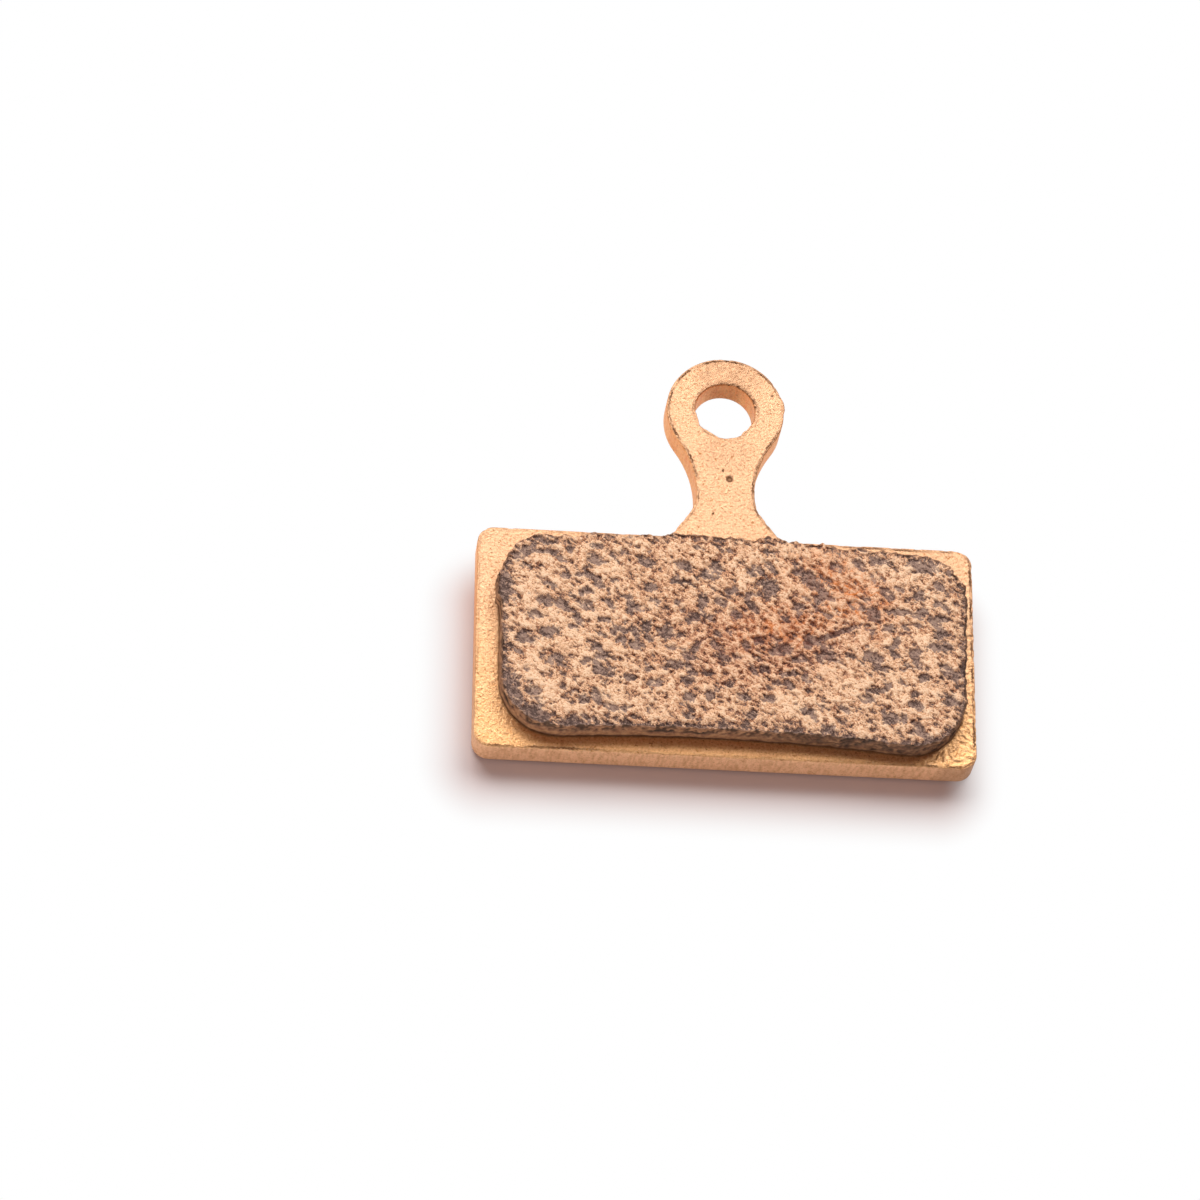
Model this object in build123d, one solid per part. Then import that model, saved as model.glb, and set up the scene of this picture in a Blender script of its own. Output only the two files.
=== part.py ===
"""Bicycle disc brake pad: a stamped steel back plate with a pin eye, and a block of sintered metal.

Millimetres. The origin is on the axis of the pin hole, at the back face of the plate.
X runs along the plate, Y from the plate towards the eye, Z out of the friction face.
"""

from build123d import *

import os
from math import atan2, ceil, cos, degrees, radians, sin, tan
from random import Random

# Plate
plate_width = 29.5
plate_height = 14.25
plate_thickness = 1.8
plate_corner_radius = 1.0
edge_roll = 0.08  # rounding that stamping leaves on the front outer edges

# Tab: an eye on a waisted neck that flares into the plate
pin_hole_diameter = 3.6
pin_hole_rise = 8.6  # hole axis above the upper edge of the plate
pin_hole_roll = 0.13  # rounding of the hole's front rim
eye_diameter = 7.1
neck_width = 3.5
neck_rise = 2.95  # narrowest place of the neck above the upper edge of the plate
flare_radius = 2.4  # bend from the neck into the flare
flare_angle = 54.0  # flare line against the upper edge, in degrees
root_radius = 0.9  # bend from the flare into the upper edge

# Punch mark on the neck
mark_diameter = 0.46
mark_depth = 0.07
mark_drop = 4.6  # below the hole axis
mark_offset = 0.25  # right of the middle

# Friction block: an arched bar with round corners
block_width = 27.5  # at half its height
block_height = 12.5
block_thickness = 1.4
block_end_lean = 1.0  # the ends lean outwards towards the tab, in degrees
block_upper_corner_radius = 2.7
block_lower_corner_radius = 3.4
block_edge_round = 0.18
block_arch_radius = 128.0  # lower edge; the upper edge is concentric
block_lift = 1.2  # middle of the lower edge above the lower edge of the plate
block_offset = 0.33  # the block sits a little right of the middle
block_turn = -0.5  # and is turned a little clockwise, in degrees

# Pores: angular pits in the face where graphite has broken out
pore_pitch = 1.6  # mean distance from one to the next
pore_length = 1.4  # of the largest
pore_width = 0.75
pore_depth = 0.2
pore_lean = 38.0  # walls against upright, in degrees
pore_smallest = 0.5  # against the largest
pore_turn = -27.0  # they lie the way the disc ran, in degrees
pore_sway = 40.0  # give or take this much
pore_margin = 0.35  # plain face between a pore and the block's outline
pore_draw = 5  # seed of the scatter

# Places that follow from the sizes
plate_top = -pin_hole_rise
plate_bottom = plate_top - plate_height
neck_y = plate_top + neck_rise
neck_half = neck_width / 2
eye_radius = eye_diameter / 2


def flank_radius():
    """Radius of the hollow flank that is upright at the neck and touches the eye's circle."""
    reach = neck_half**2 + neck_y**2 - eye_radius**2
    return reach / (2 * (eye_radius - neck_half))


def flare_foot(y):
    """Half width of the flare's straight line at the height y."""
    turn = radians(90 - flare_angle)
    bend_end_x = neck_half + flare_radius * (1 - cos(turn))
    bend_end_y = neck_y - flare_radius * sin(turn)
    return bend_end_x + (bend_end_y - y) / tan(radians(flare_angle))


def tab_outline():
    """Eye, waisted neck and flare; the flare runs on into the plate so that the two join."""
    waist = (neck_half, neck_y)
    radius = flank_radius()
    sweep = degrees(atan2(-neck_y, neck_half + radius))
    sunk_y = plate_top - plate_corner_radius

    flank = JernArc(waist, (0, 1), radius, -sweep)
    bend = JernArc(waist, (0, -1), flare_radius, 90 - flare_angle)
    flare = Line(bend @ 1, (flare_foot(sunk_y), sunk_y))
    side = Curve() + [flank, bend, flare]
    far_side = mirror(side, about=Plane.YZ)
    touch = flank @ 1
    foot = flare @ 1
    top = Line(touch, (-touch.X, touch.Y))
    base = Line(foot, (-foot.X, foot.Y))
    neck = make_face(Curve() + [side, far_side, top, base])
    return neck + Circle(eye_radius)


def plate_outline():
    """The plate's rectangle with round corners, joined to the tab by a small bend at the flare's foot."""
    body = Pos(0, (plate_top + plate_bottom) / 2) * RectangleRounded(
        plate_width, plate_height, plate_corner_radius
    )
    outline = body + tab_outline()
    foot_x = flare_foot(plate_top)
    feet = [
        corner
        for corner in outline.vertices()
        if abs(corner.Y - plate_top) < 1e-6 and abs(abs(corner.X) - foot_x) < 1e-6
    ]
    return fillet(feet, root_radius) - Circle(pin_hole_diameter / 2)


def punch_mark():
    """Ball that leaves a round dimple of the stated width and depth in the front of the neck."""
    radius = (mark_diameter**2 / 4 + mark_depth**2) / (2 * mark_depth)
    centre_z = plate_thickness - mark_depth + radius
    return Pos(mark_offset, -mark_drop, centre_z) * Sphere(radius)


def back_plate():
    """Stamped plate: sharp at the back, rolled over at the front edges and the hole's front rim."""
    plate = extrude(plate_outline(), plate_thickness)
    front = plate.faces().sort_by(Axis.Z)[-1]
    plate = fillet(front.inner_wires()[0].edges(), pin_hole_roll)
    front = plate.faces().sort_by(Axis.Z)[-1]
    plate = fillet(front.outer_wire().edges(), edge_roll)
    return plate - punch_mark()


def block_end(y):
    """Half length of the block at the height y above its lower edge."""
    return block_width / 2 + (y - block_height / 2) * tan(radians(block_end_lean))


def block_outline():
    """Bar between two concentric arcs that bow towards the tab, with leaning ends and round corners."""
    ring = Circle(block_arch_radius + block_height) - Circle(block_arch_radius)
    band = Pos(0, -block_arch_radius) * ring
    low = -block_height
    high = 2 * block_height
    window = Polygon(
        (-block_end(low), low),
        (block_end(low), low),
        (block_end(high), high),
        (-block_end(high), high),
        align=None,
    )
    bar = band & window
    bar = fillet(bar.vertices().sort_by(Axis.Y)[-2:], block_upper_corner_radius)
    return fillet(bar.vertices().sort_by(Axis.Y)[:2], block_lower_corner_radius)


def pore_mouth(size):
    """Stretched hexagon, at a share of the largest pore's size."""
    end = size * pore_length / 2
    side = size * pore_width / 2
    return Polygon(
        (end, 0),
        (end / 2, side),
        (-end / 2, side),
        (-end, 0),
        (-end / 2, -side),
        (end / 2, -side),
        align=None,
    )


def pore(size, turn):
    """Pit below the level z = 0, in proportion to the largest, that narrows towards its floor."""
    pit = extrude(pore_mouth(size), size * pore_depth, taper=pore_lean)
    return Rot(0, 0, turn) * Rot(180, 0, 0) * pit


def pores():
    """One pit scattered in each square of a grid over the face, if it is clear of the block's outline."""
    field = offset(block_outline(), -pore_margin - pore_length / 2).face()
    corner = field.bounding_box().min
    spread = field.bounding_box().size
    columns = ceil(spread.X / pore_pitch)
    rows = ceil(spread.Y / pore_pitch)
    scatter = Random(pore_draw)
    pits = []
    for row in range(rows):
        for column in range(columns):
            place = corner + Vector(column + scatter.random(), row + scatter.random()) * pore_pitch
            size = scatter.uniform(pore_smallest, 1)
            turn = pore_turn + scatter.uniform(-pore_sway, pore_sway)
            if field.is_inside(place):
                pits.append(Pos(place) * pore(size, turn))
    return pits


def friction_pad():
    """Sintered block, seated flat on the front of the plate, with a pored face and rubbed edges."""
    block = extrude(block_outline(), block_thickness)
    face = block.faces().sort_by(Axis.Z)[-1]
    block = fillet(face.outer_wire().edges(), block_edge_round)
    block -= [Pos(0, 0, block_thickness) * pit for pit in pores()]
    return Pos(block_offset, plate_bottom + block_lift, plate_thickness) * Rot(0, 0, block_turn) * block


os.makedirs("parts", exist_ok=True)
export_step(back_plate(), "parts/back_plate.step")
export_step(friction_pad(), "parts/friction_pad.step")
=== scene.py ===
"""Bicycle disc brake pad on a white studio floor: a bronze-plated plate and a block of sintered metal.

Lengths are millimetres in the pad's own frame; a finished mesh is scaled to metres once, at its end.
"""

import logging
import math
from collections.abc import Callable, Iterable
from dataclasses import dataclass
from enum import Enum

import bmesh
import bpy
from bmesh.types import BMEdge, BMesh, BMVert
from mathutils import Matrix, Vector, noise
from mathutils.bvhtree import BVHTree


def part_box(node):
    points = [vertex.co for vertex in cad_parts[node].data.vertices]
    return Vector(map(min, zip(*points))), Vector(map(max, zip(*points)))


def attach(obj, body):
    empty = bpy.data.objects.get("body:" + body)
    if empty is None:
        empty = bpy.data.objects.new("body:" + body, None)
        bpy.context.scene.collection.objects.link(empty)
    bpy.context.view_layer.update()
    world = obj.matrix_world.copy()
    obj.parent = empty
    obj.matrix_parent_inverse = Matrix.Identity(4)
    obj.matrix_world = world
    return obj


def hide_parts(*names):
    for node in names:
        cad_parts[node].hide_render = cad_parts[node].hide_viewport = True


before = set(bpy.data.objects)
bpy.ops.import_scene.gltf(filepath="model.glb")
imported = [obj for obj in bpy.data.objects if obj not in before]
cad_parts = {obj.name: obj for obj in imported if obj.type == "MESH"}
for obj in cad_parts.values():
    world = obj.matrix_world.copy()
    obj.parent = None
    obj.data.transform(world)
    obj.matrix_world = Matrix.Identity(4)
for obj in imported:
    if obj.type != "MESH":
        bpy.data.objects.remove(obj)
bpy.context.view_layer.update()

log = logging.getLogger("brake_pad")

MM = 0.001  # metres in a millimetre
TOUCH = 1e-4  # millimetres; heights nearer than this are the same
BODY = "root"
UP = Vector((0.0, 0.0, 1.0))
NEW_RAMP_STOPS = 2  # a colour ramp has these from the start


class Mask(Enum):
    """Values that a mesh carries at its points, for its finish to read."""

    WALL = "wall"  # 0 on the front, 1 on the upright walls and the back
    DEPTH = "depth"  # millimetres inwards from where the front's flat part ends, below 0 round the edge
    LINE = "line"  # how strongly dirt lines the nearest edge
    COARSE = "coarse"  # 1 where the plating's hammered grain is coarse
    DIRT_AND_SHADE = "dirt_and_shade"  # 1 where dark dirt lies in a dot, chip or crevice, and where shade is painted
    TONE = "tone"  # 0 in the deepest gaps of the friction face, 1 on its brightest flakes
    GRAIN = "grain"  # above a half inside a graphite grain
    CRACK = "crack"  # crosses 0 along the cracks between flakes
    RUST = "rust"  # 1 in an orange oxide stain
    SCORCH = "scorch"  # 1 where heat has reddened the metal


def linear(code: str) -> tuple[float, float, float, float]:
    """Turns a colour as it is seen on a screen into linear light.

    Args:
        code: sRGB hex value, such as "#c0a080".

    Returns:
        Red, green, blue and alpha for a shader socket.
    """
    parts = [int(code[i : i + 2], 16) / 255 for i in (1, 3, 5)]
    light = [p / 12.92 if p <= 0.04045 else ((p + 0.055) / 1.055) ** 2.4 for p in parts]
    return light[0], light[1], light[2], 1.0


def fade(start: float, end: float, value: float) -> float:
    """Goes smoothly from 0 at start to 1 at end, in either direction."""
    share = min(1.0, max(0.0, (value - start) / (end - start)))
    return share * share * (3 - 2 * share)


def ripple(x: float, y: float, size: float, layer: float = 0.0) -> float:
    """Smooth noise over the pad.

    Args:
        x: Place along the plate.
        y: Place towards the eye.
        size: Distance from one swell to the next.
        layer: Number that tells one noise from another.

    Returns:
        A value from about -1 to 1.
    """
    return noise.noise(Vector((x / size, y / size, layer)))


def lot(point: Vector) -> float:
    """Draws a number from 0 to 1 that is always the same for the same point, by a common hash."""
    return math.sin(point.x * 12.9898 + point.y * 78.233 + point.z * 37.719) * 43758.5453 % 1.0


def tab_side(out: Vector) -> float:
    """1 on a wall that faces the tab, 0 on one that faces along the plate or away from the tab."""
    return fade(0.1, 0.7, out.y)


def add_node(
    tree: bpy.types.NodeTree,
    kind: str,
    inputs: dict | None = None,
    out: str | int = 0,
    stops: Iterable[tuple[float, str]] = (),
    **settings: object,
) -> bpy.types.NodeSocket | None:
    """Adds a node to a material's tree.

    Args:
        tree: Node tree of the material.
        kind: Blender's name of the node type, without ShaderNode in front.
        inputs: Sockets by name or number, each with a constant or the socket that feeds it.
        out: Name or number of the output that is wanted.
        stops: Positions and hex colours of a colour ramp.
        settings: The node's own properties.

    Returns:
        That output, or nothing from a node that has none.
    """
    node = tree.nodes.new(f"ShaderNode{kind}")
    for name, value in settings.items():
        setattr(node, name, value)
    for name, value in (inputs or {}).items():
        if isinstance(value, bpy.types.NodeSocket):
            tree.links.new(value, node.inputs[name])
        else:
            node.inputs[name].default_value = value
    for number, (position, code) in enumerate(stops):
        elements = node.color_ramp.elements
        element = elements[number] if number < NEW_RAMP_STOPS else elements.new(position)
        element.position = position
        element.color = linear(code)
    return node.outputs[out] if node.outputs else None


def new_material(name: str) -> tuple[bpy.types.Material, bpy.types.NodeTree]:
    """Starts a material.

    Args:
        name: Name of the material.

    Returns:
        The material and its empty node tree.
    """
    material = bpy.data.materials.new(name)
    material.use_nodes = True
    material.node_tree.nodes.clear()
    return material, material.node_tree


class NodeShape:
    """Outline and height of one solid of the frame, in millimetres."""

    WALL_LEAN = 0.2  # a face whose normal rises no more than this is an upright wall
    LOOKOUT = 1.0  # height above the solid from which rays look down on it

    def __init__(self, node: str) -> None:
        """Reads the solid's mesh.

        Args:
            node: Name of the solid in the frame.
        """
        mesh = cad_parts[node].data
        low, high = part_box(node)
        self.name = node
        self.low = low / MM
        self.high = high / MM
        points = [v.co / MM for v in mesh.vertices]
        faces = [tuple(p.vertices) for p in mesh.polygons]
        walls = [tuple(p.vertices) for p in mesh.polygons if abs(p.normal.z) < self.WALL_LEAN]
        self._whole = BVHTree.FromPolygons(points, faces)
        self._walls = BVHTree.FromPolygons(points, walls)

    def edge(self, x: float, y: float) -> tuple[Vector, Vector, float]:
        """Finds the nearest place on the outline.

        Args:
            x: Place along the plate.
            y: Place towards the eye.

        Returns:
            The outline's point, the direction out of the solid there, and how far inside it (x, y) lies.
        """
        middle = (self.low.z + self.high.z) / 2
        foot, out, _, distance = self._walls.find_nearest(Vector((x, y, middle)))
        out = Vector((out.x, out.y, 0)).normalized()
        covered = self._look_down(x, y) is not None
        return Vector((foot.x, foot.y, 0)), out, distance if covered else -distance

    def height(self, x: float, y: float) -> float:
        """Height of the solid's front at a place, or of its top where the place is outside."""
        hit = self._look_down(x, y)
        return self.high.z if hit is None else hit.z

    def _look_down(self, x: float, y: float) -> Vector | None:
        """Finds where a ray from above first meets the solid, if it does."""
        return self._whole.ray_cast(Vector((x, y, self.high.z + self.LOOKOUT)), -UP)[0]


class Skin:
    """Fine closed mesh over one solid: a trimmed grid on top, rings down its walls, a plain underside."""

    MARGIN = 4  # grid lines beyond the solid's box
    TRIM = 0.35  # share of the spacing that the grid keeps clear of its border
    MERGE = 0.5  # border points nearer than this share of the spacing become one
    ROLL_STEPS = (30, 60, 90)  # degrees round the rolled edge

    def __init__(
        self,
        shape: NodeShape,
        spacing: float,
        roll: Callable[[Vector], float],
        bulge: Callable[[Vector], float],
    ) -> None:
        """Lays the grid and pulls its border to the outline.

        Args:
            shape: Solid that the mesh covers.
            spacing: Distance between grid lines.
            roll: Radius of the front edge's rounding at a point of the outline.
            bulge: How far the real edge stands out from the drawn outline there.
        """
        self.shape = shape
        self.spacing = spacing
        self.roll = roll
        self.bulge = bulge
        self.bm: BMesh = bmesh.new()
        layers = self.bm.verts.layers
        self.foot = layers.float_vector.new("foot")
        self.out = layers.float_vector.new("out")
        self.masks = {mask: layers.float.new(mask.value) for mask in Mask}
        self._lay_grid()
        self._trim_grid()
        self._snap_border()

    def _lay_grid(self) -> None:
        """Covers the solid's box with a grid at the height of its front."""
        low, high = self.shape.low, self.shape.high
        margin = self.MARGIN * self.spacing
        width = high.x - low.x + 2 * margin
        height = high.y - low.y + 2 * margin
        place = Matrix.Translation(((low.x + high.x) / 2, (low.y + high.y) / 2, high.z))
        bmesh.ops.create_grid(
            self.bm,
            x_segments=round(width / self.spacing),
            y_segments=round(height / self.spacing),
            size=0.5,
            matrix=place @ Matrix.Diagonal((width, height, 1, 1)),
        )

    def _trim_grid(self) -> None:
        """Deletes what lies outside the border, then any loose or pinched point that this leaves."""
        outside = []
        for v in self.bm.verts:
            foot, out, inside = self.shape.edge(v.co.x, v.co.y)
            depth = inside + self.bulge(foot)
            v[self.masks[Mask.DEPTH]] = depth - self.roll(foot)
            v[self.foot] = foot
            v[self.out] = out
            if depth < self.roll(foot) + self.TRIM * self.spacing:
                outside.append(v)
        while outside:
            bmesh.ops.delete(self.bm, geom=outside, context="VERTS")
            outside = [
                v
                for v in self.bm.verts
                if not v.link_faces or sum(e.is_boundary for e in v.link_edges) > 2
            ]

    def _snap_border(self) -> None:
        """Moves the border points to where the front's flat part ends."""
        for v in self.bm.verts:
            if v.is_boundary:
                foot = v[self.foot]
                v[self.foot] = foot + v[self.out] * self.bulge(foot)
                v[self.masks[Mask.DEPTH]] = 0.0
                v.co.xy = (v[self.foot] - v[self.out] * self.roll(foot)).xy
        close = [v for v in self.bm.verts if v.is_boundary]
        bmesh.ops.remove_doubles(self.bm, verts=close, dist=self.MERGE * self.spacing)

    def border(self) -> list[BMEdge]:
        """Lists the open edges."""
        return [e for e in self.bm.edges if e.is_boundary]

    def ring(
        self, inward: Callable[[BMVert], float], height: Callable[[BMVert], float], wall: float
    ) -> None:
        """Extrudes the open edges to a new ring.

        Args:
            inward: Distance of the ring from the outline, at a point.
            height: Height of the ring, at a point.
            wall: Value of the wall mask there.
        """
        made = bmesh.ops.extrude_edge_only(self.bm, edges=self.border())["geom"]
        for v in (part for part in made if isinstance(part, BMVert)):
            place = v[self.foot] - v[self.out] * inward(v)
            v.co = (place.x, place.y, height(v))
            roll = self.roll(v[self.foot])
            outwards = min(0.0, inward(v) - roll)
            downwards = min(0.0, height(v) - self.shape.high.z + roll)
            v[self.masks[Mask.DEPTH]] = outwards + downwards
            v[self.masks[Mask.WALL]] = wall

    def wall_rings(self, count: int, foot_chamfer: float, lip: float) -> None:
        """Rolls the front edge over, runs down the walls and closes the underside.

        Args:
            count: Number of rings on the upright wall.
            foot_chamfer: Width of the small chamfer at the back edge.
            lip: Width of the flat ring at the border of the underside.
        """
        top, bottom = self.shape.high.z, self.shape.low.z
        for angle in self.ROLL_STEPS:
            lean = math.radians(angle)
            self.ring(
                lambda v: self.roll(v[self.foot]) * (1 - math.sin(lean)),
                lambda v: top - self.roll(v[self.foot]) * (1 - math.cos(lean)),
                angle / 90,
            )
        for step in range(1, count + 1):
            share = step / count
            self.ring(
                lambda v: 0.0,
                lambda v: (top - self.roll(v[self.foot])) * (1 - share) + (bottom + foot_chamfer) * share,
                1.0,
            )
        self.ring(lambda v: foot_chamfer, lambda v: bottom, 1.0)
        self.ring(lambda v: foot_chamfer + lip, lambda v: bottom, 1.0)
        bmesh.ops.triangle_fill(self.bm, edges=self.border(), use_beauty=True)

    def piece(self, name: str, slot: str, material: bpy.types.Material) -> None:
        """Turns the mesh into the piece that stands for the solid.

        Args:
            name: Name of the piece.
            slot: Not used.
            material: The piece's finish.
        """
        for layer in (self.foot, self.out):
            self.bm.verts.layers.float_vector.remove(layer)
        bmesh.ops.recalc_face_normals(self.bm, faces=self.bm.faces)
        bmesh.ops.scale(self.bm, vec=(MM, MM, MM), verts=self.bm.verts)
        for face in self.bm.faces:
            face.smooth = True
        mesh = bpy.data.meshes.new(name)
        self.bm.to_mesh(mesh)
        self.bm.free()
        mesh.materials.append(material)
        piece = bpy.data.objects.new(name, mesh)
        bpy.context.scene.collection.objects.link(piece)
        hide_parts(self.shape.name)
        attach(piece, BODY)
        log.info("%s: %d points, %d faces", name, len(mesh.vertices), len(mesh.polygons))


@dataclass(frozen=True)
class PlatedSteel:
    """Stamped steel, shot-blasted and then plated with bronze.

    The blasting leaves a fine hammered skin that scatters light into a satin sparkle, the sheared walls
    come out smoother and pinker, and brown dirt stays along the edges.
    """

    tab: str = "#d5a984"  # paler towards the eye: painted light, standing for the brighter, washed-out highlight on the tab
    foot: str = "#dfac77"
    foot_y: float = -22.0  # the colour changes from the foot's here
    tab_y: float = -12.0  # to the tab's here
    glint: str = "#f3cda0"  # painted highlight on the tops of the blasted grain
    wall: str = "#f0bd92"
    wall_deep: str = "#d39f74"
    # Brighter, more orange walls towards the tab: painted light on the tab's lit walls
    tab_wall_lit: str = "#ffb774"
    tab_wall_lit_deep: str = "#f39a5a"
    # Brown of the dirt, also used for painted shade
    dirt_and_shade_brown: str = "#6a4428"
    # Brown specks, and painted shade in the dimples of the blasted grain
    speck_and_dimple_shade: str = "#a0652f"
    grit_size: float = 0.13  # one blasted dimple
    grit_height: float = 0.05
    speck_size: float = 0.17
    streak_size: float = 0.2  # across one shear mark on the walls
    streak_draw: float = 4.0  # times as long as it is wide
    line_width: float = 0.1  # of the dirt line
    line_inset: float = 0.05  # how far inside the edge it runs
    line_sway: float = 0.15  # and how far it wanders
    line_wave: float = 0.16  # from one bend to the next

    def material(self) -> bpy.types.Material:
        """Builds the node tree.

        Returns:
            The finished material.
        """
        material, tree = new_material("bronze_plated_blasted_steel")
        place = add_node(tree, "TexCoord", out="Object")
        wall, depth, lined, coarse, dirt_and_shade = (
            add_node(tree, "Attribute", out="Fac", attribute_name=mask.value)
            for mask in (Mask.WALL, Mask.DEPTH, Mask.LINE, Mask.COARSE, Mask.DIRT_AND_SHADE)
        )
        upright = add_node(tree, "Mapping", {"Vector": place, "Scale": (1.0, 1.0, 1 / self.streak_draw)})
        streak, grit, fleck, ragged = (
            add_node(
                tree,
                "TexNoise",
                {"Vector": vector, "Scale": 1 / (size * MM), "Detail": detail, "Roughness": roughness},
            )
            for vector, size, detail, roughness in (
                (upright, self.streak_size, 5.0, 0.5),
                (place, self.grit_size, 3.0, 0.65),
                (place, self.speck_size, 2.0, 0.5),
                (place, self.line_wave, 3.0, 0.5),
            )
        )

        # Colour of the plating from the foot to the tab, where the change is painted light, and faint shear
        # streaks on the walls
        along = add_node(tree, "SeparateXYZ", {0: place}, "Y")
        ends = {"From Min": self.foot_y * MM, "From Max": self.tab_y * MM}
        rise = add_node(tree, "MapRange", {"Value": along} | ends)
        tones = {0: rise, 6: linear(self.foot), 7: linear(self.tab)}
        front = add_node(tree, "Mix", tones, 2, data_type="RGBA")
        low_side, tab_walls_lit = (
            add_node(tree, "ValToRGB", {"Fac": streak}, stops=[(0.3, deep), (0.6, pale)])
            for deep, pale in ((self.wall_deep, self.wall), (self.tab_wall_lit_deep, self.tab_wall_lit))
        )
        side = add_node(tree, "Mix", {0: rise, 6: low_side, 7: tab_walls_lit}, 2, data_type="RGBA")
        skin = add_node(tree, "Mix", {0: wall, 6: front, 7: side}, 2, data_type="RGBA")

        # Painted highlight on the tops of the blasted grain, painted shade in its dimples, and brown specks
        worn, shade, fleck = (
            add_node(tree, "MapRange", {"Value": value, "From Min": low, "From Max": high, "To Max": peak})
            for value, low, high, peak in (
                (grit, 0.5, 0.72, 0.55),
                (grit, 0.47, 0.27, 0.65),
                (fleck, 0.61, 0.72, 0.75),
            )
        )
        fleck = add_node(tree, "Math", {0: shade, 1: fleck}, operation="MAXIMUM")
        sparse = add_node(tree, "MapRange", {"Value": wall, "To Min": 1.0, "To Max": 0.65})
        fleck = add_node(tree, "Math", {0: fleck, 1: sparse}, operation="MULTIPLY")

        # Dirt in a wavering, broken line where the front turns over, and in dots and chips, with the
        # painted shade
        sway = {"To Min": -self.line_sway - self.line_inset, "To Max": self.line_sway - self.line_inset}
        waver = add_node(tree, "MapRange", {"Value": ragged} | sway)
        off_line = add_node(tree, "Math", {0: depth, 1: waver}, operation="ADD")
        off_line = add_node(tree, "Math", {0: off_line}, operation="ABSOLUTE")
        band = {"From Max": self.line_width, "To Min": 1.2, "To Max": 0.0}
        line = add_node(tree, "MapRange", {"Value": off_line} | band)
        line = add_node(tree, "Math", {0: line, 1: lined}, operation="MULTIPLY", use_clamp=True)
        dirtied_and_shaded = add_node(tree, "Math", {0: line, 1: dirt_and_shade}, operation="MAXIMUM")

        # One over the other: the painted highlight on the grain's tops, the specks with the painted shade
        # in the dimples, and the dirt with its painted shade
        for share, code in ((worn, self.glint), (fleck, self.speck_and_dimple_shade), (dirtied_and_shaded, self.dirt_and_shade_brown)):
            skin = add_node(tree, "Mix", {0: share, 6: skin, 7: linear(code)}, 2, data_type="RGBA")

        # Blasted grit, finer than the mesh, and smoother where the hammered grain is coarse
        rough = add_node(tree, "MapRange", {"Value": coarse, "To Min": 0.5, "To Max": 0.36})
        lift = add_node(tree, "MapRange", {"Value": wall, "To Min": 0.68, "To Max": 0.5})
        grain = {"Height": grit, "Strength": lift, "Distance": self.grit_height * MM}
        bump = add_node(tree, "Bump", grain)

        # Bare metal on the front, duller on the walls towards the foot, and none under the dirt and painted
        # shade
        sheen = add_node(tree, "MapRange", {"Value": rise, "To Min": 0.32, "To Max": 0.85})
        polish = add_node(tree, "MapRange", {"Value": wall, "To Min": 1.0, "To Max": sheen})
        shine = add_node(tree, "MapRange", {"Value": dirtied_and_shaded, "To Min": polish, "To Max": 0.0})
        surface = {"Base Color": skin, "Metallic": shine, "Roughness": rough, "Specular IOR Level": 0.1}
        shader = add_node(tree, "BsdfPrincipled", surface | {"Normal": bump})
        add_node(tree, "OutputMaterial", {"Surface": shader})
        return material


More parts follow.
